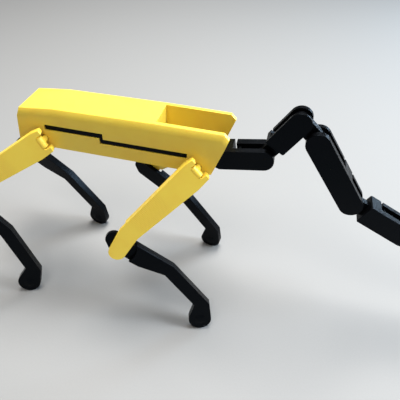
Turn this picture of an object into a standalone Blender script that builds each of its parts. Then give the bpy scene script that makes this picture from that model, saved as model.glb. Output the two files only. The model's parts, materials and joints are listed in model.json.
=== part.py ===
"""Posable four-legged robot with a front arm, printed in plastic.

The shell carries four legs and one arm.  Each leg is a hip knuckle that turns in the shell
wall, an upper leg clipped on the knuckle by a two-pronged fork, and a lower leg that turns
on a peg at the knee.  The arm is a chain of forked links that turn on built-in pins.

Frame: origin at the middle of the flat underside, +X towards the arm, +Y to the robot's
left, +Z up.  Sizes are written in millimetres and scaled to metres once, by MM.
"""
import math

import bmesh
import bpy
from mathutils import Matrix, Vector

MM = 0.001

# Driving dimensions, in millimetres
BODY_LENGTH = 120.0
BODY_WIDTH = 28.2
BODY_HEIGHT = 24.3
WALL = 2.3
CLEARANCE = 0.3

CHAMFER_WIDTH = 2.6
CHAMFER_DEPTH = 4.0
REAR_SLANT = 3.0
FRONT_SLANT = 8.0
REAR_DROP = 2.2
REAR_FOLD = 20.4
ARCH_RISE = 1.1
ARCH_SPAN = 125.0
NOSE_LEAN = 0.3
NOSE_CHAMFER = 3.0

SLOT_LENGTH = 40.0
SLOT_HALF_WIDTH = 9.2
CAVITY_TOP = 18.7
POCKET_TOP = 9.0

STRIPE_DEPTH = 1.0
STRIPE_SET_BACK = 0.25
STRIPE_REAR = -44.5
STRIPE_STEP = -11.8
STRIPE_STEP_LENGTH = 1.6
STRIPE_FRONT = 38.0
STRIPE_HIGH_BAR = (14.7, 11.9)
STRIPE_LOW_BAR = (11.1, 8.5)
CHASSIS_THICKNESS = 2.4
CHASSIS_FRONT = 37.0
CHASSIS_REAR = -39.0
BRACKET_REAR = 22.0
BRACKET_FRONT = 35.5
BRACKET_HEIGHT = 3.2
EAR_INNER = 5.9
EAR_OUTER = 8.3
EAR_RADIUS = 3.0

HIP_FRONT = (44.4, 4.0)
HIP_REAR = (-46.0, 5.8)
HIP_AXIS_Y = 18.6
HIP_PEG_RADIUS = 2.0
HIP_HEAD_RADIUS = 3.2
KNUCKLE_RADIUS = 4.0
KNUCKLE_TRIM = 2.35
COLLAR_RADIUS = 2.1
FORK_GAP = 8.6
NUB_RADIUS = 1.4
NUB_TIP_RADIUS = 0.9
NUB_REACH = 0.9
PRONG_TIP_RADIUS = 1.5
PRONG_SWING = 4.2

UPPER_THICKNESS = 5.0
UPPER_FRONT_EDGE = ((8.4, -5.0), (9.2, -51.5))
UPPER_REAR_EDGE = ((-2.0, -54.5), (-7.6, -1.5))
UPPER_ROUNDING = 0.8
UPPER_TIP = (7.9, -66.4)
UPPER_TIP_RADIUS = 5.1
KNEE = (4.6, -64.6)
KNEE_CHEEK = 2.2
KNEE_SHOULDER = -50.0
KNEE_PEG_RADIUS = 1.8
KNEE_PEG_LENGTH = 1.7

HEEL_OFFSET = 3.7
HEEL_ANGLE = 43.0
HEEL_RADIUS = 5.0
KNEE_LUG_RADIUS = 4.6
KNEE_LAP_RADIUS = 12.5
SHIN = 38.3
CALF = 30.6
ANKLE = 13.9
ELBOW_BEND = 18.6
ANKLE_BEND = 34.5
CALF_REAR = (-4.6, -18.0)
CALF_FRONT = (7.6, -10.0)
LOWER_HALF_WIDTH = 4.0
LOWER_THICKNESS = 5.0
LOWER_ROUNDING = 0.9
ANKLE_TOE = 5.4
FOOT_RADIUS = 7.2
FOOT_THICKNESS = 6.4

LINK_WIDTH = 13.0
SLIM_WIDTH = 12.2
LINK_SIDE = 5.5
WIDE_SIDE = 7.5
SLIM_SIDE = 3.6
CHANNEL_LOW = -1.9
CHANNEL_HIGH = 2.8
TONGUE_GAP = 0.4
LINK_FLOOR = 1.6
LINK_ROUNDING = 0.7
SWING_REACH = 7.2
RIB_GAP = 2.2
RIB_HALF = 0.45
LINK_PIN_RADIUS = 1.6
TONGUE_RADIUS = 4.6
SQUARE_END = 9.2
SLIT = 1.5

SHOULDER_X = 49.4
SHOULDER_Z = 3.2
SHOULDER_RADIUS = 3.2
SHOULDER_PIN_RADIUS = 1.5
SHOULDER_LINK = 29.4
SHOULDER_SLIT = 12.6
UPPER_LINK = 29.4
UPPER_SLIT = 12.6
ELBOW_BONE = 14.5
FOREARM_LINK = 43.9
FOREARM_UPPER_SLIT = 20.1
FOREARM_LOWER_SLIT = 29.6
WRIST_LINK = 38.0
WRIST_SLIT = 16.2
PALM_LENGTH = 16.0
PALM_SLOT = 2.6
JAW_PIVOT = 6.0
JAW_LENGTH = 17.0
JAW_HEIGHT = 3.0
JAW_SIDE = 2.2

# How far a cutter runs past the piece it cuts
THROUGH = 20.0

# Pose in which the robot stands: hip pitch, hip splay and knee bend of each leg, in degrees
LEG_POSE = {
    "front_right": (47.0, 22.3, 104.68),
    "rear_right": (61.5, 21.9, 100.92),
    "rear_left": (51.0, 7.8, 106.08),
    "front_left": (51.7, 8.5, 108.16),
}
# Pitch of each arm piece above the horizontal, in degrees
SHOULDER_PITCH = 9.9
UPPER_PITCH = 58.0
BONE_PITCH = -41.4
FOREARM_PITCH = -54.6
WRIST_PITCH = -26.0
PALM_PITCH = -5.0
JAW_PITCH = 12.0

YELLOW = (0.93, 0.66, 0.04, 1.0)
BLACK = (0.012, 0.012, 0.014, 1.0)


def clear_scene():
    for item in list(bpy.data.objects):
        bpy.data.objects.remove(item, do_unlink=True)


def new_collection(name):
    made = bpy.data.collections.new(name)
    bpy.context.scene.collection.children.link(made)
    return made


clear_scene()
PARTS = new_collection("posable_quadruped_robot")
CUTTERS = new_collection("cutters")


def plastic(name, colour, roughness):
    material = bpy.data.materials.new(name)
    material.use_nodes = True
    shader = material.node_tree.nodes["Principled BSDF"]
    shader.inputs["Base Color"].default_value = colour
    shader.inputs["Roughness"].default_value = roughness
    shader.inputs["Metallic"].default_value = 0.0
    return material


def scaled(*values):
    return tuple(value * MM for value in values)


def pivot(name, location, turn_y=0.0, turn_x=0.0, parent=None):
    """Empty on a joint's axis, turned about its own Y or X axis."""
    empty = bpy.data.objects.new(name, None)
    empty.empty_display_size = 0.01
    empty.location = scaled(*location)
    empty.rotation_euler = (math.radians(turn_x), math.radians(turn_y), 0.0)
    empty.parent = parent
    PARTS.objects.link(empty)
    return empty


def place(item, parent, cutter=False):
    """Puts an object in its collection, under its pivot."""
    for owner in list(item.users_collection):
        owner.objects.unlink(item)
    (CUTTERS if cutter else PARTS).objects.link(item)
    item.parent = parent
    if cutter:
        item.hide_render = True
        item.display_type = "WIRE"
    return item


def arc(centre, radius, start, end, steps=10):
    """Points on a circle from one angle to another, in degrees."""
    points = []
    for index in range(steps + 1):
        angle = math.radians(start + (end - start) * index / steps)
        points.append((centre[0] + radius * math.cos(angle), centre[1] + radius * math.sin(angle)))
    return points


def plate(name, outline, low_y, high_y, parent=None, cutter=True, bevel=0.0):
    """Flat piece whose outline lies in X and Z and whose faces are at low_y and high_y."""
    curve = bpy.data.curves.new(name, "CURVE")
    curve.dimensions = "2D"
    curve.fill_mode = "BOTH"
    curve.extrude = (high_y - low_y) / 2 * MM
    spline = curve.splines.new("POLY")
    spline.points.add(len(outline) - 1)
    for point, (x, z) in zip(spline.points, outline):
        point.co = (x * MM, z * MM, 0.0, 1.0)
    spline.use_cyclic_u = True
    drawn = bpy.data.objects.new(name + "_outline", curve)
    CUTTERS.objects.link(drawn)
    bpy.context.view_layer.update()
    mesh = bpy.data.meshes.new_from_object(drawn.evaluated_get(bpy.context.evaluated_depsgraph_get()))
    bpy.data.objects.remove(drawn)
    bpy.data.curves.remove(curve)
    stand_up = Matrix.Rotation(math.radians(90.0), 4, "X")
    shift = Matrix.Translation((0.0, (low_y + high_y) / 2 * MM, 0.0))
    mesh.transform(shift @ stand_up)
    tidy(mesh)
    mesh.name = name
    item = bpy.data.objects.new(name, mesh)
    if bevel:
        soften(item, bevel)
    return place(item, parent, cutter)


def tidy(mesh):
    """Welds loose caps and points every face outwards."""
    working = bmesh.new()
    working.from_mesh(mesh)
    bmesh.ops.remove_doubles(working, verts=working.verts, dist=0.000001)
    bmesh.ops.recalc_face_normals(working, faces=working.faces)
    working.to_mesh(mesh)
    working.free()


def soften(item, width, segments=1):
    bevel = item.modifiers.new("soft_edges", "BEVEL")
    bevel.width = width * MM
    bevel.segments = segments
    bevel.limit_method = "ANGLE"
    bevel.angle_limit = math.radians(50.0)


def box(name, low, high, parent=None, cutter=True):
    mesh = bpy.data.meshes.new(name)
    working = bmesh.new()
    bmesh.ops.create_cube(working, size=1.0)
    size = [top - bottom for bottom, top in zip(low, high)]
    middle = [(top + bottom) / 2 for bottom, top in zip(low, high)]
    bmesh.ops.scale(working, vec=scaled(*size), verts=working.verts)
    bmesh.ops.translate(working, vec=scaled(*middle), verts=working.verts)
    working.to_mesh(mesh)
    working.free()
    return place(bpy.data.objects.new(name, mesh), parent, cutter)


def rod(name, radius, start, end, parent=None, cutter=True, end_radius=None, sides=24):
    """Round bar, or cone, between two points."""
    mesh = bpy.data.meshes.new(name)
    working = bmesh.new()
    along = Vector(end) - Vector(start)
    last = radius if end_radius is None else end_radius
    bmesh.ops.create_cone(working, cap_ends=True, segments=sides, radius1=radius * MM,
                          radius2=last * MM, depth=along.length * MM)
    turn = along.to_track_quat("Z", "Y").to_matrix().to_4x4()
    middle = Matrix.Translation((Vector(start) + Vector(end)) / 2 * MM)
    bmesh.ops.transform(working, matrix=middle @ turn, verts=working.verts)
    working.to_mesh(mesh)
    working.free()
    mesh.shade_smooth()
    mesh.set_sharp_from_angle(angle=math.radians(40.0))
    return place(bpy.data.objects.new(name, mesh), parent, cutter)


def combine(item, other, operation):
    step = item.modifiers.new(other.name, "BOOLEAN")
    step.operation = operation
    step.solver = "EXACT"
    step.object = other


def cut(item, *others):
    for other in others:
        combine(item, other, "DIFFERENCE")


def join(item, *others):
    for other in others:
        combine(item, other, "UNION")


def finish(item, material):
    item.data.materials.clear()
    item.data.materials.append(material)
    return item


# Body ---------------------------------------------------------------------------------------

def top_height(x):
    """Height of the roof: a rear facet, then a long shallow arch."""
    half = BODY_LENGTH / 2
    fold = REAR_FOLD - half
    if x <= fold:
        return BODY_HEIGHT - REAR_DROP * (fold - x) / REAR_FOLD
    share = (x - fold) / (half - fold)
    past = max(0.0, x - (half - NOSE_CHAMFER))
    return BODY_HEIGHT + ARCH_RISE * math.sin(math.radians(ARCH_SPAN * share)) - past


def body_sections():
    """Stations along the body: distance along X of the top and of the bottom of each section."""
    half = BODY_LENGTH / 2
    fold = REAR_FOLD - half
    stations = [(-half, -half - REAR_SLANT), (fold, fold)]
    for share in (0.2, 0.4, 0.6, 0.8):
        along = fold + (half - fold) * share
        stations.append((along, along))
    for behind in (NOSE_CHAMFER, 0.0):
        stations.append((half - behind, half - FRONT_SLANT - NOSE_LEAN * behind))
    return stations


def shell_block():
    """Outer form of the shell, lofted through chamfered cross-sections."""
    half_width = BODY_WIDTH / 2
    working = bmesh.new()
    rings = []
    for top_x, bottom_x in body_sections():
        top = top_height(top_x)
        shoulder = top - CHAMFER_DEPTH
        shoulder_x = bottom_x + (top_x - bottom_x) * shoulder / top
        roof = half_width - CHAMFER_WIDTH
        corners = [(bottom_x, -half_width, 0.0), (shoulder_x, -half_width, shoulder), (top_x, -roof, top),
                   (top_x, roof, top), (shoulder_x, half_width, shoulder), (bottom_x, half_width, 0.0)]
        rings.append([working.verts.new(scaled(*corner)) for corner in corners])
    for ring, following in zip(rings, rings[1:]):
        for index, vert in enumerate(ring):
            after = (index + 1) % len(ring)
            working.faces.new((vert, ring[after], following[after], following[index]))
    working.faces.new(rings[0])
    working.faces.new(reversed(rings[-1]))
    bmesh.ops.recalc_face_normals(working, faces=working.faces)
    mesh = bpy.data.meshes.new("body_shell")
    working.to_mesh(mesh)
    working.free()
    return place(bpy.data.objects.new("body_shell", mesh), None)


def stripe_outline(grow):
    """Two long bars joined by a small step, seen from the side."""
    high_top, high_bottom = STRIPE_HIGH_BAR[0] + grow, STRIPE_HIGH_BAR[1] - grow
    low_top, low_bottom = STRIPE_LOW_BAR[0] + grow, STRIPE_LOW_BAR[1] - grow
    rear, front = STRIPE_REAR - grow, STRIPE_FRONT + grow
    step_rear, step_front = STRIPE_STEP - grow, STRIPE_STEP + STRIPE_STEP_LENGTH + grow
    return [(rear, high_top), (step_front, high_top), (step_front, low_top), (front, low_top),
            (front, low_bottom), (step_rear, low_bottom), (step_rear, high_bottom), (rear, high_bottom)]


def stripe(side, sign, material):
    wall = sign * BODY_WIDTH / 2
    inner = wall - sign * STRIPE_DEPTH
    outer = wall - sign * STRIPE_SET_BACK
    inlay = plate("side_stripe_" + side, stripe_outline(0.0), min(inner, outer), max(inner, outer),
                  cutter=False)
    recess_inner = inner - sign * CLEARANCE
    recess_outer = wall + sign
    recess = plate("recess_" + side, stripe_outline(CLEARANCE), min(recess_inner, recess_outer),
                   max(recess_inner, recess_outer))
    return finish(inlay, material), recess


def body_shell(material, recesses):
    """Shell with a hollow rear, a bulkhead, and a front slot, pocketed low down for the hip pegs."""
    shell = shell_block()
    inner = BODY_WIDTH / 2 - WALL
    half = BODY_LENGTH / 2
    slot_rear = half - SLOT_LENGTH
    cavity = box("cavity", (-half + WALL, -inner, -1.0), (slot_rear - WALL, inner, CAVITY_TOP))
    slot = box("slot", (slot_rear, -SLOT_HALF_WIDTH, -1.0),
               (half + THROUGH, SLOT_HALF_WIDTH, BODY_HEIGHT + THROUGH))
    pocket = box("pocket", (slot_rear, -inner, -1.0), (half + THROUGH, inner, POCKET_TOP))
    cover_way = box("cover_way", (slot_rear - WALL - 1.0, -inner, -1.0),
                    (slot_rear + 1.0, inner, CHASSIS_THICKNESS + CLEARANCE))
    cut(shell, cavity, slot, pocket, cover_way)
    for x, z in (HIP_FRONT, HIP_REAR):
        cut(shell, rod("hip_hole", HIP_PEG_RADIUS + CLEARANCE, (x, -BODY_WIDTH, z), (x, BODY_WIDTH, z)))
    cut(shell, *recesses)
    return finish(shell, material)


def chassis_plate(material):
    """Flat cover that closes the underside, flush with the rim of the shell."""
    inner = BODY_WIDTH / 2 - WALL - CLEARANCE
    cover = box("chassis_plate", (CHASSIS_REAR, -inner, 0.0), (CHASSIS_FRONT, inner, CHASSIS_THICKNESS),
                cutter=False)
    soften(cover, 0.4, 1)
    return finish(cover, material)


def arm_bracket(material):
    """Fork inside the front of the shell: a base on the chassis and two ears round the shoulder pin."""
    low_z = CHASSIS_THICKNESS + CLEARANCE
    high_z = low_z + BRACKET_HEIGHT
    base = box("arm_bracket", (BRACKET_REAR, -EAR_OUTER, low_z), (BRACKET_FRONT, EAR_OUTER, high_z),
               cutter=False)
    ear_rear = BRACKET_REAR + 6.0
    outline = arc((SHOULDER_X, SHOULDER_Z), EAR_RADIUS, -90.0, 90.0)
    outline += [(ear_rear + 6.0, SHOULDER_Z + EAR_RADIUS), (ear_rear, low_z + 1.0), (ear_rear, low_z + 0.2),
                (CHASSIS_FRONT + 0.5, low_z + 0.2), (CHASSIS_FRONT + 2.5, SHOULDER_Z - EAR_RADIUS)]
    for side, sign in (("right", -1), ("left", 1)):
        near, far = sorted((sign * EAR_INNER, sign * EAR_OUTER))
        join(base, plate("bracket_ear_" + side, outline, near, far))
    hole = rod("shoulder_hole", SHOULDER_PIN_RADIUS + CLEARANCE, (SHOULDER_X, -THROUGH, SHOULDER_Z),
               (SHOULDER_X, THROUGH, SHOULDER_Z))
    cut(base, hole)
    return finish(base, material)


def shoulder_pin(material):
    pin = rod("shoulder_pin", SHOULDER_PIN_RADIUS, (SHOULDER_X, -EAR_OUTER, SHOULDER_Z),
              (SHOULDER_X, EAR_OUTER, SHOULDER_Z), cutter=False)
    return finish(pin, material)


# Legs ---------------------------------------------------------------------------------------

def barrel(name, centre, grow, parent, cutter=True):
    """Ball trimmed to a cylinder about the splay axis, so that it keeps its shape as the leg splays."""
    shape = ball(name, centre, (KNUCKLE_RADIUS + grow,) * 3, parent, cutter)
    low, high = (-THROUGH,) + centre[1:], (THROUGH,) + centre[1:]
    combine(shape, rod(name + "_trim", KNUCKLE_TRIM + grow, low, high, parent, sides=32), "INTERSECT")
    return shape


def hip_knuckle(name, sign, parent, material):
    """Barrel between the prongs, on a peg that ends in a snap head inside the shell."""
    centre = (0.0, sign * HIP_AXIS_Y, 0.0)
    knuckle = barrel(name, centre, 0.0, parent, cutter=False)
    wall_out = BODY_WIDTH / 2
    wall_in = wall_out - WALL
    flat = sign * (wall_out + CLEARANCE)
    collar = rod(name + "_collar", COLLAR_RADIUS, (0.0, sign * HIP_AXIS_Y, 0.0), (0.0, flat, 0.0), parent,
                 sides=20)
    peg = rod(name + "_peg", HIP_PEG_RADIUS, (0.0, flat + sign * 1.0, 0.0),
              (0.0, sign * (wall_in - 1.1), 0.0), parent, sides=16)
    head = rod(name + "_head", HIP_HEAD_RADIUS, (0.0, sign * (wall_in - CLEARANCE), 0.0),
               (0.0, sign * (wall_in - 1.9), 0.0), parent, end_radius=HIP_PEG_RADIUS - 0.3, sides=16)
    join(knuckle, collar, peg, head)
    for end in (-1, 1):
        mouth = end * (KNUCKLE_RADIUS + 0.5)
        floor = end * (FORK_GAP / 2 - NUB_REACH - CLEARANCE)
        dimple = rod(name + "_dimple", NUB_RADIUS + CLEARANCE, (mouth,) + centre[1:],
                     (floor,) + centre[1:], parent, end_radius=NUB_TIP_RADIUS + CLEARANCE, sides=12)
        cut(knuckle, dimple)
    return finish(knuckle, material)


def upper_leg_outline():
    """Two prongs, straight front edge, tapering rear edge, and a tip that kicks forward."""
    inner = FORK_GAP / 2
    centre = inner + PRONG_TIP_RADIUS
    top = PRONG_SWING - PRONG_TIP_RADIUS
    outline = arc((centre, top), PRONG_TIP_RADIUS, 180.0, 0.0, 8)
    outline += UPPER_FRONT_EDGE
    outline += arc(UPPER_TIP, UPPER_TIP_RADIUS, 12.0, -168.0, 14)
    outline += UPPER_REAR_EDGE
    outline += arc((-centre, top), PRONG_TIP_RADIUS, 180.0, 0.0, 8)
    outline += [(-inner, 0.5), (inner, 0.5)]
    return outline


def upper_leg(name, sign, parent, material):
    half = UPPER_THICKNESS / 2
    inward = -sign
    leg = plate(name, upper_leg_outline(), -half, half, parent, cutter=False, bevel=UPPER_ROUNDING)
    turn = rod(name + "_turn", PRONG_SWING, (-THROUGH, 0.0, 0.0), (THROUGH, 0.0, 0.0), parent, sides=32)
    below = box(name + "_below", (-THROUGH, -THROUGH, UPPER_TIP[1] - THROUGH), (THROUGH, THROUGH, -0.5),
                parent)
    join(turn, below)
    combine(leg, turn, "INTERSECT")
    inner = FORK_GAP / 2
    opening = box(name + "_opening", (-inner, -THROUGH, 0.2), (inner, THROUGH, THROUGH), parent)
    collar_way = rod(name + "_collar_way", COLLAR_RADIUS + CLEARANCE, (0.0, 0.0, 0.0),
                     (0.0, inward * THROUGH, 0.0), parent)
    cut(leg, barrel(name + "_seat", (0.0, 0.0, 0.0), CLEARANCE, parent), collar_way, opening)
    for end in (-1, 1):
        nub = rod(name + "_nub", NUB_RADIUS, (end * (inner + 0.6), 0.0, 0.0),
                  (end * (inner - NUB_REACH), 0.0, 0.0), parent, end_radius=NUB_TIP_RADIUS, sides=12)
        join(leg, nub)
    cheek = inward * (KNEE_CHEEK - half)
    low, high = sorted((cheek, inward * THROUGH))
    cut(leg,
        box(name + "_lap", (-THROUGH, low, UPPER_TIP[1] - THROUGH), (THROUGH, high, KNEE_SHOULDER), parent))
    x, z = KNEE
    peg = rod(name + "_peg", KNEE_PEG_RADIUS, (x, cheek - inward * 0.6, z),
              (x, cheek + inward * (CLEARANCE + KNEE_PEG_LENGTH), z), parent)
    join(leg, peg)
    return finish(leg, material)


def lower_leg_spine():
    """Centreline of the lower leg, from the knee pivot: heel, elbow, ankle and foot centre."""
    turn = math.radians(HEEL_ANGLE)
    heel = HEEL_OFFSET * Vector((math.sin(turn), math.cos(turn)))
    first = math.radians(ELBOW_BEND)
    second = math.radians(ELBOW_BEND + ANKLE_BEND)
    elbow = heel + Vector((0.0, -SHIN))
    ankle = elbow + CALF * Vector((-math.sin(first), -math.cos(first)))
    foot = ankle + ANKLE * Vector((-math.sin(second), -math.cos(second)))
    return heel, elbow, ankle, foot


def lower_leg_outline():
    """Round heel, broad calf that narrows to the elbow, slim shin with a sharp front corner, round foot."""
    heel, elbow, ankle, foot = lower_leg_spine()
    half = LOWER_HALF_WIDTH
    bend_elbow = math.radians(ELBOW_BEND / 2)
    shin = math.radians(ELBOW_BEND)
    across = half * Vector((math.cos(shin), -math.sin(shin)))
    down = Vector((-math.sin(shin), -math.cos(shin)))
    elbow_out = half / math.cos(bend_elbow) * Vector((math.cos(bend_elbow), -math.sin(bend_elbow)))
    outline = arc(tuple(heel), HEEL_RADIUS, -32.0, 130.0, 12)
    outline += arc((0.0, 0.0), KNEE_LUG_RADIUS, 145.0, 190.0, 4)
    outline += [CALF_REAR, tuple(elbow - elbow_out), tuple(ankle - across)]
    heading = math.degrees(math.atan2((foot - ankle).y, (foot - ankle).x))
    outline += arc(tuple(foot), FOOT_RADIUS, heading - 110.0, heading + 94.0, 16)
    outline += [tuple(ankle + across + ANKLE_TOE * down), tuple(elbow + elbow_out), CALF_FRONT]
    return outline


def lower_leg(name, sign, parent, material):
    """Lower leg flush with the upper leg, halved where the two lap at the knee."""
    inward = -sign
    half = LOWER_THICKNESS / 2
    leg = plate(name, lower_leg_outline(), -half, half, parent, cutter=False, bevel=LOWER_ROUNDING)
    foot = lower_leg_spine()[3]
    dome = ball(name + "_foot", (foot.x, 0.0, foot.y),
                (FOOT_RADIUS - 0.5, FOOT_THICKNESS / 2, FOOT_RADIUS - 0.5), parent)
    join(leg, dome)
    lap = inward * (KNEE_CHEEK - UPPER_THICKNESS / 2 + CLEARANCE)
    outside = (0.0, -inward * THROUGH, 0.0)
    cut(leg, rod(name + "_lap", KNEE_LAP_RADIUS, (0.0, lap, 0.0), outside, parent, sides=48))
    hole_end = lap + inward * (KNEE_PEG_LENGTH + CLEARANCE)
    cut(leg, rod(name + "_hole", KNEE_PEG_RADIUS + CLEARANCE, outside, (0.0, hole_end, 0.0), parent))
    return finish(leg, material)


def ball(name, centre, radii, parent, cutter=True):
    mesh = bpy.data.meshes.new(name)
    working = bmesh.new()
    bmesh.ops.create_uvsphere(working, u_segments=20, v_segments=10, radius=1.0)
    bmesh.ops.scale(working, vec=scaled(*radii), verts=working.verts)
    bmesh.ops.translate(working, vec=scaled(*centre), verts=working.verts)
    working.to_mesh(mesh)
    working.free()
    mesh.shade_smooth()
    return place(bpy.data.objects.new(name, mesh), parent, cutter)


def leg(place_name, knuckle_plastic, upper_plastic, lower_plastic):
    x, z = HIP_FRONT if place_name.startswith("front") else HIP_REAR
    sign = -1 if place_name.endswith("right") else 1
    pitch, splay, bend = LEG_POSE[place_name]
    hip = pivot("hip_pitch_" + place_name, (x, 0.0, z), turn_y=pitch)
    hip_knuckle("hip_knuckle_" + place_name, sign, hip, knuckle_plastic)
    fork = pivot("hip_splay_" + place_name, (0.0, sign * HIP_AXIS_Y, 0.0), turn_x=sign * splay, parent=hip)
    upper_leg("upper_leg_" + place_name, sign, fork, upper_plastic)
    knee = pivot("knee_" + place_name, (KNEE[0], 0.0, KNEE[1]), turn_y=-bend, parent=fork)
    lower_leg("lower_leg_" + place_name, sign, knee, lower_plastic)


# Arm ----------------------------------------------------------------------------------------

def round_end(x, radius, side):
    """Half circle that closes a link's outline at x: side 1 is the far end, -1 the near end."""
    if side > 0:
        return arc((x, 0.0), radius, -90.0, 90.0, 16)
    return arc((x, 0.0), radius, 90.0, 270.0, 16)


def square_corners(x, half, radius=0.9):
    return arc((x + radius, half - radius), radius, 90.0, 180.0, 3) + \
        arc((x + radius, -half + radius), radius, 180.0, 270.0, 3)


def fork_cut(name, link, width, fork_x, slit_x, side, parent):
    """Opens a fork round fork_x: a channel with a floor, a clear swing at the tip and a slit by the block."""
    reach = side * THROUGH
    half = width / 2
    near, far = sorted((slit_x, fork_x + reach))
    channel = box(name + "_channel", (near, CHANNEL_LOW, -half + LINK_FLOOR),
                  (far, CHANNEL_HIGH, half + 1.0), parent)
    near, far = sorted((fork_x - side * SWING_REACH, fork_x + reach))
    swing = box(name + "_swing", (near, CHANNEL_LOW, -half - 1.0), (far, CHANNEL_HIGH, half + 1.0), parent)
    pin = rod(name + "_pin", LINK_PIN_RADIUS, (fork_x, CHANNEL_LOW - 1.0, 0.0),
              (fork_x, CHANNEL_HIGH + 1.0, 0.0), parent, sides=16)
    rib_x = slit_x + side * (SLIT + RIB_GAP)
    rib = box(name + "_rib", (rib_x - RIB_HALF, CHANNEL_LOW - 0.5, -half + 0.5),
              (rib_x + RIB_HALF, CHANNEL_HIGH + 0.5, half - LINK_FLOOR), parent)
    near, far = sorted((slit_x, slit_x + side * SLIT))
    slit = box(name + "_slit", (near, CHANNEL_LOW, -half - 1.0), (far, THROUGH, half + 1.0), parent)
    cut(link, channel, swing)
    join(link, pin, rib)
    cut(link, slit)


def tongue(name, link, length, parent):
    """Rounded tab that swings in the previous link's fork, round its pin."""
    outline = arc((0.0, 0.0), TONGUE_RADIUS, 60.0, 300.0, 16)
    outline += [(length, -TONGUE_RADIUS + 0.3), (length, TONGUE_RADIUS - 0.3)]
    join(link, plate(name + "_tongue", outline, CHANNEL_LOW + TONGUE_GAP, CHANNEL_HIGH - TONGUE_GAP, parent))
    bore(link, 0.0, LINK_PIN_RADIUS, parent)


def bore(item, x, pin_radius, parent):
    """Round hole across a piece, with running clearance on its pin."""
    hole = rod(item.name + "_bore", pin_radius + CLEARANCE, (x, -THROUGH, 0.0), (x, THROUGH, 0.0), parent,
               sides=20)
    cut(item, hole)


def shoulder_link(parent, material):
    """First link: a round root on the shoulder pin, and a fork at the far end."""
    half = SLIM_WIDTH / 2
    outline = arc((0.0, 0.0), SHOULDER_RADIUS, 130.0, 235.0, 8)
    outline += [(4.6, -half)] + round_end(SHOULDER_LINK, half, 1) + [(6.0, half)]
    link = plate("arm_shoulder_link", outline, -LINK_SIDE, WIDE_SIDE, parent, cutter=False,
                 bevel=LINK_ROUNDING)
    relief = SHOULDER_RADIUS + 1.0
    cut(link, box("shoulder_relief", (-relief, LINK_SIDE, -THROUGH), (relief, THROUGH, THROUGH), parent))
    fork_cut(link.name, link, SLIM_WIDTH, SHOULDER_LINK, SHOULDER_SLIT, 1, parent)
    bore(link, 0.0, SHOULDER_PIN_RADIUS, parent)
    return finish(link, material)


def square_link(name, width, near_side, length, slit_x, parent, material):
    """Link with a square root block and tongue, and a fork at the far end."""
    half = width / 2
    outline = square_corners(SQUARE_END, half) + round_end(length, half, 1)
    link = plate(name, outline, -near_side, LINK_SIDE, parent, cutter=False, bevel=LINK_ROUNDING)
    fork_cut(name, link, width, length, slit_x, 1, parent)
    tongue(name, link, SQUARE_END + 1.0, parent)
    return finish(link, material)


def elbow_bone(parent, material):
    """Short tab with a hole at each end, hidden between two forks."""
    outline = round_end(0.0, TONGUE_RADIUS, -1) + round_end(ELBOW_BONE, TONGUE_RADIUS, 1)
    bone = plate("arm_elbow_bone", outline, CHANNEL_LOW + TONGUE_GAP, CHANNEL_HIGH - TONGUE_GAP, parent,
                 cutter=False)
    for x in (0.0, ELBOW_BONE):
        bore(bone, x, LINK_PIN_RADIUS, parent)
    return finish(bone, material)


def forearm_link(parent, material):
    """Long link with a fork at both ends and a solid block between them."""
    half = LINK_WIDTH / 2
    outline = round_end(0.0, half, -1) + round_end(FOREARM_LINK, half, 1)
    link = plate("arm_forearm_link", outline, -LINK_SIDE, LINK_SIDE, parent, cutter=False,
                 bevel=LINK_ROUNDING)
    fork_cut("arm_forearm_link_upper", link, LINK_WIDTH, 0.0, FOREARM_UPPER_SLIT, -1, parent)
    fork_cut("arm_forearm_link_lower", link, LINK_WIDTH, FOREARM_LINK, FOREARM_LOWER_SLIT, 1, parent)
    return finish(link, material)


def gripper_palm(parent, material):
    """Square palm with a tongue, and a fixed lower finger with a slot for the jaw."""
    half = LINK_WIDTH / 2
    root = SQUARE_END + 10.0
    knuckle = SQUARE_END + PALM_LENGTH
    outline = square_corners(SQUARE_END, half)
    outline += [(knuckle, -half), (knuckle + 10.0, -3.0), (knuckle + 10.0, -1.6), (root, -0.6), (root, half)]
    palm = plate("gripper_palm", outline, -LINK_SIDE, LINK_SIDE, parent, cutter=False, bevel=0.5)
    tongue("gripper_palm", palm, SQUARE_END + 1.0, parent)
    lug_x = SQUARE_END + JAW_PIVOT
    cut(palm,
        box("palm_channel", (lug_x - 5.0, -PALM_SLOT, -1.2), (lug_x + 30.0, PALM_SLOT, half + 1.0), parent))
    join(palm, rod("palm_pin", LINK_PIN_RADIUS, (lug_x, -PALM_SLOT - 1.0, JAW_HEIGHT),
                   (lug_x, PALM_SLOT + 1.0, JAW_HEIGHT), parent, sides=16))
    return finish(palm, material)


def gripper_jaw(parent, material):
    """Upper finger that swings on the palm's pin."""
    outline = arc((0.0, 0.0), 3.2, 90.0, 270.0, 12)
    outline += [(6.0, -2.9), (JAW_LENGTH, -2.2), (JAW_LENGTH + 3.0, -3.6), (JAW_LENGTH + 3.0, -1.4),
                (8.0, 3.0)]
    jaw = plate("gripper_jaw", outline, -JAW_SIDE, JAW_SIDE, parent, cutter=False, bevel=0.3)
    bore(jaw, 0.0, LINK_PIN_RADIUS, parent)
    return finish(jaw, material)


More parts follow.
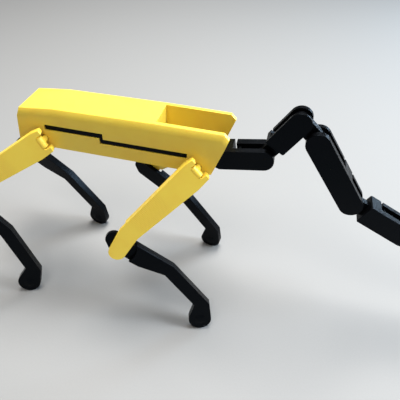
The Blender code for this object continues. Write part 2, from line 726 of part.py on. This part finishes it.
def arm(material):
    """Chain of links; each pivot is turned from the one before it."""
    shoulder = pivot("shoulder_axis", (SHOULDER_X, 0.0, SHOULDER_Z), turn_y=-SHOULDER_PITCH)
    shoulder_link(shoulder, material)
    upper = pivot("upper_axis", (SHOULDER_LINK, 0.0, 0.0), turn_y=SHOULDER_PITCH - UPPER_PITCH,
                  parent=shoulder)
    square_link("arm_upper_link", SLIM_WIDTH, SLIM_SIDE, UPPER_LINK, UPPER_SLIT, upper, material)
    bone = pivot("bone_axis", (UPPER_LINK, 0.0, 0.0), turn_y=UPPER_PITCH - BONE_PITCH, parent=upper)
    elbow_bone(bone, material)
    forearm = pivot("forearm_axis", (ELBOW_BONE, 0.0, 0.0), turn_y=BONE_PITCH - FOREARM_PITCH, parent=bone)
    forearm_link(forearm, material)
    wrist = pivot("wrist_axis", (FOREARM_LINK, 0.0, 0.0), turn_y=FOREARM_PITCH - WRIST_PITCH, parent=forearm)
    square_link("arm_wrist_link", LINK_WIDTH, LINK_SIDE, WRIST_LINK, WRIST_SLIT, wrist, material)
    palm = pivot("palm_axis", (WRIST_LINK, 0.0, 0.0), turn_y=WRIST_PITCH - PALM_PITCH, parent=wrist)
    gripper_palm(palm, material)
    jaw = pivot("jaw_axis", (SQUARE_END + JAW_PIVOT, 0.0, JAW_HEIGHT), turn_y=PALM_PITCH - JAW_PITCH,
                parent=palm)
    gripper_jaw(jaw, material)


def build():
    yellow = plastic("yellow_plastic", YELLOW, 0.32)
    black = plastic("black_plastic", BLACK, 0.38)
    inlay_right, recess_right = stripe("right", -1, black)
    inlay_left, recess_left = stripe("left", 1, black)
    body_shell(yellow, (recess_right, recess_left))
    chassis_plate(black)
    arm_bracket(black)
    shoulder_pin(black)
    for place_name in LEG_POSE:
        leg(place_name, yellow, yellow, black)
    arm(black)
    bpy.context.view_layer.update()


build()
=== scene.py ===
"""Looks of the posable quadruped robot: softened printed-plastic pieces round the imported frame."""

import json
import math

import bmesh
import bpy
from mathutils import Euler, Matrix, Vector


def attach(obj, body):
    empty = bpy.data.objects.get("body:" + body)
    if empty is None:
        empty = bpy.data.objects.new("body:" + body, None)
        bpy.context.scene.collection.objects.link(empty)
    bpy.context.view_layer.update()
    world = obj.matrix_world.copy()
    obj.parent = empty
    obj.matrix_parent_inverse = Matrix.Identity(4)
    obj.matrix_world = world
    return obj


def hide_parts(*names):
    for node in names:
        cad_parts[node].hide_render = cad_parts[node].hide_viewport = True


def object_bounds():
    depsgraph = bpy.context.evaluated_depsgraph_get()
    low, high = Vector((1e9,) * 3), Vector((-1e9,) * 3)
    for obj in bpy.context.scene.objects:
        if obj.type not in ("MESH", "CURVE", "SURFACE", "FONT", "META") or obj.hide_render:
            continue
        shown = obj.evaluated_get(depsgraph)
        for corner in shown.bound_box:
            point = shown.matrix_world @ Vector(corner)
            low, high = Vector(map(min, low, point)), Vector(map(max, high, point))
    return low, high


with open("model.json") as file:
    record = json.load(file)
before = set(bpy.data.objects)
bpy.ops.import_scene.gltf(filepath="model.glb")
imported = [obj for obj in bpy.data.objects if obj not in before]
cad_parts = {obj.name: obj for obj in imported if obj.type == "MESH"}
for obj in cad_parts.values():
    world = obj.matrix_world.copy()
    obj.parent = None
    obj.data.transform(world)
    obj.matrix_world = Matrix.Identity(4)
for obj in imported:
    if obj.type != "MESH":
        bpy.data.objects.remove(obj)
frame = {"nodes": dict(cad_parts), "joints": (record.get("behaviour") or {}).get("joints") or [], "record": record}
CAD_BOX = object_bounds()

MM = 0.001
GROUND = CAD_BOX[0][2]

LEGS = ("front_right", "rear_right", "rear_left", "front_left")
ACROSS = Vector((0.0, 1.0, 0.0))
UPWARD = Vector((0.0, 0.0, 1.0))

# Rounding of sharp edges
WELD = 0.002 * MM
FLAT_ANGLE = math.radians(0.8)
EDGE_ANGLE = math.radians(38.0)
EDGE_WIDTH = 0.35 * MM
EDGE_SEGMENTS = 2
NORMAL_WEIGHT = 80

# Plastics; inner_glow is the share of light that scatters inside before it comes back; the second colour is for
# patches of wear and for the painted shade in the grooves of an upper leg's band of lines
YELLOW = {"colour": (0.90, 0.66, 0.075), "wear_and_groove_shade": (0.86, 0.57, 0.06), "gloss_tint": (1.0, 1.0, 1.0),
          "roughness": 0.34, "specular": 0.45, "inner_glow": 0.12, "layer_bump": 0.25, "grain_bump": 0.20}
# The black plastic's bluish gloss_tint is a painted reflection: it tints the highlights on its facets as if lit by
# cool light
BLACK = {"colour": (0.0008, 0.0009, 0.0012), "wear_and_groove_shade": (0.0025, 0.0025, 0.003), "gloss_tint": (0.60, 0.78, 1.0),
         "roughness": 0.30, "specular": 0.08, "inner_glow": 0.0, "layer_bump": 0.22, "grain_bump": 0.25}
GLOW_RADIUS = (1.0, 0.7, 0.15)
GLOW_SCALE = 1.5 * MM

# Layer lines and grain of the plastics; a noise is its repeats per metre and its amount of detail
NOISE_ROUGHNESS = 0.6
LAYER_PITCH = 0.2 * MM
LAYER_DEPTH = 0.04 * MM
LAYER_WANDER = 0.12 * MM
WANDER_NOISE = (70.0, 2.0)
GRAIN_NOISE = (2600.0, 3.0)
GRAIN_DEPTH = 0.03 * MM

# Worn and dull patches: the part of the noise in which each comes in, and how far roughness goes
PATCH_NOISE = (45.0, 5.0)
WORN_PATCHES = (0.42, 0.85)
DULL_PATCHES = (0.3, 0.7)
ROUGHNESS_DROP = 0.06
ROUGHNESS_RISE = 0.08

# Band of fine lines across an upper leg, measured from the hip; the grooves between the lines get painted shade, a
# darker colour, and the whole band is tinted toward the darker orange
BAND_START = 20.0 * MM
BAND_END = 50.0 * MM
BAND_FADE = 6.0 * MM
LINE_PITCH = 1.0 * MM
LINE_DEPTH = 0.12 * MM
LINE_BUMP = 0.7
LINE_SHADE = -0.3
BAND_SHADE = 0.5

# Floor, just under the feet
FLOOR_HALF_SIZE = 3.0
FLOOR_GAP = 0.05 * MM
FLOOR_COLOUR = (0.31, 0.305, 0.30)
FLOOR_VARIATION = 0.04
FLOOR_ROUGHNESS = 0.85
FLOOR_SPECULAR = 0.15
FLOOR_NOISE = (900.0, 4.0)
FLOOR_DEPTH = 0.05 * MM
FLOOR_BUMP = 0.2

# Camera, to the robot's right, above it and a little ahead of its body; lens and sensor in millimetres
CAMERA_PLACE = Vector((0.08503, -0.19627, 0.14985))
CAMERA_TURN = Euler([math.radians(angle) for angle in (47.613, -1.779, 13.576)])
LENS = 38.95
SENSOR_WIDTH = 36.0

# Lights: name, place, target, size in metres, power in watts, colour
MIDDLE = (0.0, 0.0, 0.0)
LIGHTS = (
    ("top_light", (0.05, 0.25, 0.80), MIDDLE, 0.50, 13.0, (1.0, 0.99, 0.96)),
    ("high_fill", (-0.05, -0.40, 0.85), MIDDLE, 0.40, 3.4, (1.0, 0.98, 0.94)),
    ("front_light", (0.70, 0.05, 0.36), MIDDLE, 0.25, 6.0, (0.80, 0.90, 1.0)),
    ("rim_light", (0.60, 0.65, 0.22), (0.0, 0.0, -0.05), 0.25, 4.0, (0.60, 0.80, 1.0)),
)
SKY_COLOUR = (0.95, 0.97, 1.0)
SKY_STRENGTH = 0.17

# Colour sockets of a Mix node, by number because other sockets have the same names
MIX_FIRST, MIX_SECOND, MIX_RESULT = 6, 7, 2


# Shader nodes -------------------------------------------------------------------------------

def new_material(name):
    """Material, its node tree, its shader and the socket that gives a point's place."""
    material = bpy.data.materials.new(name)
    material.use_nodes = True
    tree = material.node_tree
    place = tree.nodes.new("ShaderNodeTexCoord").outputs["Object"]
    return material, tree, tree.nodes["Principled BSDF"], place


def math_node(tree, operation, *operands):
    """Math node; an operand is a socket or a number."""
    made = tree.nodes.new("ShaderNodeMath")
    made.operation = operation
    for socket, operand in zip(made.inputs, operands):
        if isinstance(operand, (int, float)):
            socket.default_value = operand
        else:
            tree.links.new(operand, socket)
    return made.outputs[0]


def ramp(tree, value, low, high, to_low=0.0, to_high=1.0, smooth=False):
    """Value mapped from the range low to high onto to_low to to_high, and held at its ends."""
    made = tree.nodes.new("ShaderNodeMapRange")
    if smooth:
        made.interpolation_type = "SMOOTHSTEP"
    for name, number in (("From Min", low), ("From Max", high), ("To Min", to_low), ("To Max", to_high)):
        made.inputs[name].default_value = number
    tree.links.new(value, made.inputs["Value"])
    return made.outputs["Result"]


def noise(tree, place, scale, detail):
    """Cloudy noise from 0 to 1."""
    made = tree.nodes.new("ShaderNodeTexNoise")
    made.inputs["Scale"].default_value = scale
    made.inputs["Detail"].default_value = detail
    made.inputs["Roughness"].default_value = NOISE_ROUGHNESS
    tree.links.new(place, made.inputs["Vector"])
    return made.outputs["Fac"]


def distance_along(tree, place, direction):
    """How far a point lies along a direction, in metres."""
    made = tree.nodes.new("ShaderNodeVectorMath")
    made.operation = "DOT_PRODUCT"
    made.inputs[1].default_value = direction
    tree.links.new(place, made.inputs[0])
    return made.outputs["Value"]


def stripes(tree, along, pitch):
    """Sine wave that repeats every pitch."""
    return math_node(tree, "SINE", math_node(tree, "MULTIPLY", along, 2.0 * math.pi / pitch))


def bump(tree, height, strength, depth, normal=None):
    """Normal tilted by a height, on top of another bump's normal if one is given."""
    made = tree.nodes.new("ShaderNodeBump")
    made.inputs["Strength"].default_value = strength
    made.inputs["Distance"].default_value = depth
    tree.links.new(height, made.inputs["Height"])
    if normal is not None:
        tree.links.new(normal, made.inputs["Normal"])
    return made.outputs["Normal"]


def colour_between(tree, share, first, second):
    """Colour that goes from the first to the second as the share goes from 0 to 1."""
    made = tree.nodes.new("ShaderNodeMix")
    made.data_type = "RGBA"
    made.inputs[MIX_FIRST].default_value = (*first, 1.0)
    made.inputs[MIX_SECOND].default_value = (*second, 1.0)
    tree.links.new(share, made.inputs["Factor"])
    return made.outputs[MIX_RESULT]


# Materials ----------------------------------------------------------------------------------

def line_band(tree, place, lines):
    """How much of the band of lines there is at a point, and the height of its lines."""
    along = distance_along(tree, place, lines["direction"])
    start, end = lines["start"], lines["end"]
    fade_in = ramp(tree, along, start, start + BAND_FADE, smooth=True)
    fade_out = ramp(tree, along, end - BAND_FADE, end, 1.0, 0.0, smooth=True)
    band = math_node(tree, "MULTIPLY", fade_in, fade_out)
    return band, math_node(tree, "MULTIPLY", stripes(tree, along, LINE_PITCH), band)


def printed_plastic(name, look, layer_axis, lines=None):
    """Plastic with layer lines, faint grain, uneven gloss, patches of wear and, on some, a band of lines whose
    grooves get painted shade.
    """
    material, tree, shader, place = new_material(name)
    shader.inputs["Specular IOR Level"].default_value = look["specular"]
    shader.inputs["Specular Tint"].default_value = (*look["gloss_tint"], 1.0)
    shader.inputs["Subsurface Weight"].default_value = look["inner_glow"]
    shader.inputs["Subsurface Radius"].default_value = GLOW_RADIUS
    shader.inputs["Subsurface Scale"].default_value = GLOW_SCALE

    wander = math_node(tree, "MULTIPLY", noise(tree, place, *WANDER_NOISE), LAYER_WANDER)
    along = math_node(tree, "ADD", distance_along(tree, place, layer_axis), wander)
    normal = bump(tree, stripes(tree, along, LAYER_PITCH), look["layer_bump"], LAYER_DEPTH)
    normal = bump(tree, noise(tree, place, *GRAIN_NOISE), look["grain_bump"], GRAIN_DEPTH, normal)
    patches = noise(tree, place, *PATCH_NOISE)
    wear_and_groove_shade = ramp(tree, patches, *WORN_PATCHES)
    if lines is not None:
        band, ridges = line_band(tree, place, lines)
        normal = bump(tree, ridges, LINE_BUMP, LINE_DEPTH, normal)
        # Painted shade: the colour goes darker in the grooves between the lines; the whole band is also tinted
        # toward the darker orange
        band_shade = math_node(tree, "MULTIPLY", band, BAND_SHADE)
        shade = math_node(tree, "MULTIPLY_ADD", ridges, LINE_SHADE, band_shade)
        wear_and_groove_shade = math_node(tree, "MAXIMUM", wear_and_groove_shade, shade)
    roughness = (look["roughness"] - ROUGHNESS_DROP, look["roughness"] + ROUGHNESS_RISE)
    tree.links.new(normal, shader.inputs["Normal"])
    tree.links.new(ramp(tree, patches, *DULL_PATCHES, *roughness), shader.inputs["Roughness"])
    # Base colour goes toward the darker orange in patches of wear and, as painted shade, in the grooves of the
    # band of lines
    tree.links.new(colour_between(tree, wear_and_groove_shade, look["colour"], look["wear_and_groove_shade"]), shader.inputs["Base Color"])
    return material


def floor_material():
    """Pale board with a faint grain."""
    material, tree, shader, place = new_material("pale_floor")
    shader.inputs["Roughness"].default_value = FLOOR_ROUGHNESS
    shader.inputs["Specular IOR Level"].default_value = FLOOR_SPECULAR
    grain = noise(tree, place, *FLOOR_NOISE)
    dark = [(1.0 - FLOOR_VARIATION) * channel for channel in FLOOR_COLOUR]
    light = [(1.0 + FLOOR_VARIATION) * channel for channel in FLOOR_COLOUR]
    tree.links.new(colour_between(tree, grain, dark, light), shader.inputs["Base Color"])
    tree.links.new(bump(tree, grain, FLOOR_BUMP, FLOOR_DEPTH), shader.inputs["Normal"])
    return material


def joint_named(name):
    for joint in frame["joints"]:
        if joint["name"] == name:
            return joint
    raise KeyError(name)


def leg_lines(leg):
    """Where the band of lines lies on an upper leg: across the way from the hip to the knee."""
    hip = Vector(joint_named("hip_splay_" + leg)["pos_m"])
    knee = Vector(joint_named("knee_" + leg)["pos_m"])
    direction = (knee - hip).normalized()
    start = direction.dot(hip)
    return {"direction": direction, "start": start + BAND_START, "end": start + BAND_END}


def piece_material(name, slot):
    """Plastic of a piece: printed lying on its side in a leg, the arm or the gripper, else upright."""
    look = YELLOW if slot == "yellow_plastic" else BLACK
    layer_axis = UPWARD
    lines = None
    for leg in LEGS:
        if name.endswith(leg):
            layer_axis = Vector(joint_named("knee_" + leg)["axis"])
            if name.startswith("upper_leg"):
                lines = leg_lines(leg)
    if name.startswith(("arm_", "gripper_")):
        layer_axis = ACROSS
    return printed_plastic(name + "_plastic", look, layer_axis, lines)


# Pieces -------------------------------------------------------------------------------------

def softened(name):
    """Copy of a CAD node with its flat faces merged and its sharp edges rounded."""
    working = bmesh.new()
    working.from_mesh(frame["nodes"][name].data)
    bmesh.ops.remove_doubles(working, verts=working.verts, dist=WELD)
    bmesh.ops.dissolve_limit(working, angle_limit=FLAT_ANGLE, verts=working.verts, edges=working.edges)
    mesh = bpy.data.meshes.new(name + "_soft")
    working.to_mesh(mesh)
    working.free()
    mesh.shade_smooth()
    piece = bpy.data.objects.new(name + "_soft", mesh)
    bpy.context.scene.collection.objects.link(piece)
    bevel = piece.modifiers.new("rounding", "BEVEL")
    bevel.width = EDGE_WIDTH
    bevel.segments = EDGE_SEGMENTS
    bevel.limit_method = "ANGLE"
    bevel.angle_limit = EDGE_ANGLE
    bevel.miter_outer = "MITER_ARC"
    normals = piece.modifiers.new("normals", "WEIGHTED_NORMAL")
    normals.keep_sharp = True
    normals.weight = NORMAL_WEIGHT
    return piece


def body_of(name):
    for body, members in frame["record"]["behaviour"]["bodies"].items():
        if name in members:
            return body
    raise KeyError(name)


def dress(name, slot):
    """Shows a node by a softened copy in its plastic, which rides on the node's body."""
    material = piece_material(name, slot)
    piece = softened(name)
    piece.data.materials.append(material)
    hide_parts(name)
    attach(piece, body_of(name))


# Stage --------------------------------------------------------------------------------------

def floor():
    working = bmesh.new()
    bmesh.ops.create_grid(working, x_segments=1, y_segments=1, size=FLOOR_HALF_SIZE)
    mesh = bpy.data.meshes.new("floor")
    working.to_mesh(mesh)
    working.free()
    made = bpy.data.objects.new("floor", mesh)
    made.location.z = GROUND - FLOOR_GAP
    made.data.materials.append(floor_material())
    bpy.context.scene.collection.objects.link(made)


def camera():
    data = bpy.data.cameras.new("camera")
    data.lens = LENS
    data.sensor_width = SENSOR_WIDTH
    made = bpy.data.objects.new("camera", data)
    made.matrix_world = Matrix.LocRotScale(CAMERA_PLACE, CAMERA_TURN, None)
    bpy.context.scene.collection.objects.link(made)
    bpy.context.scene.camera = made


def area_light(name, location, target, size, power, colour):
    """Round soft light aimed at a target."""
    data = bpy.data.lights.new(name, "AREA")
    data.shape = "DISK"
    data.size = size
    data.energy = power
    data.color = colour
    made = bpy.data.objects.new(name, data)
    made.location = location
    aim = Vector(target) - Vector(location)
    made.rotation_euler = aim.to_track_quat("-Z", "Y").to_euler()
    bpy.context.scene.collection.objects.link(made)


def sky():
    """Weak even light from all round, and colours shown as they are."""
    world = bpy.data.worlds.new("studio")
    world.use_nodes = True
    background = world.node_tree.nodes["Background"]
    background.inputs["Color"].default_value = (*SKY_COLOUR, 1.0)
    background.inputs["Strength"].default_value = SKY_STRENGTH
    bpy.context.scene.world = world
    bpy.context.scene.view_settings.view_transform = "Standard"


def main():
    for entry in frame["record"]["subparts"]:
        dress(entry["node"], entry["material_slot"])
    floor()
    camera()
    for light in LIGHTS:
        area_light(*light)
    sky()


main()
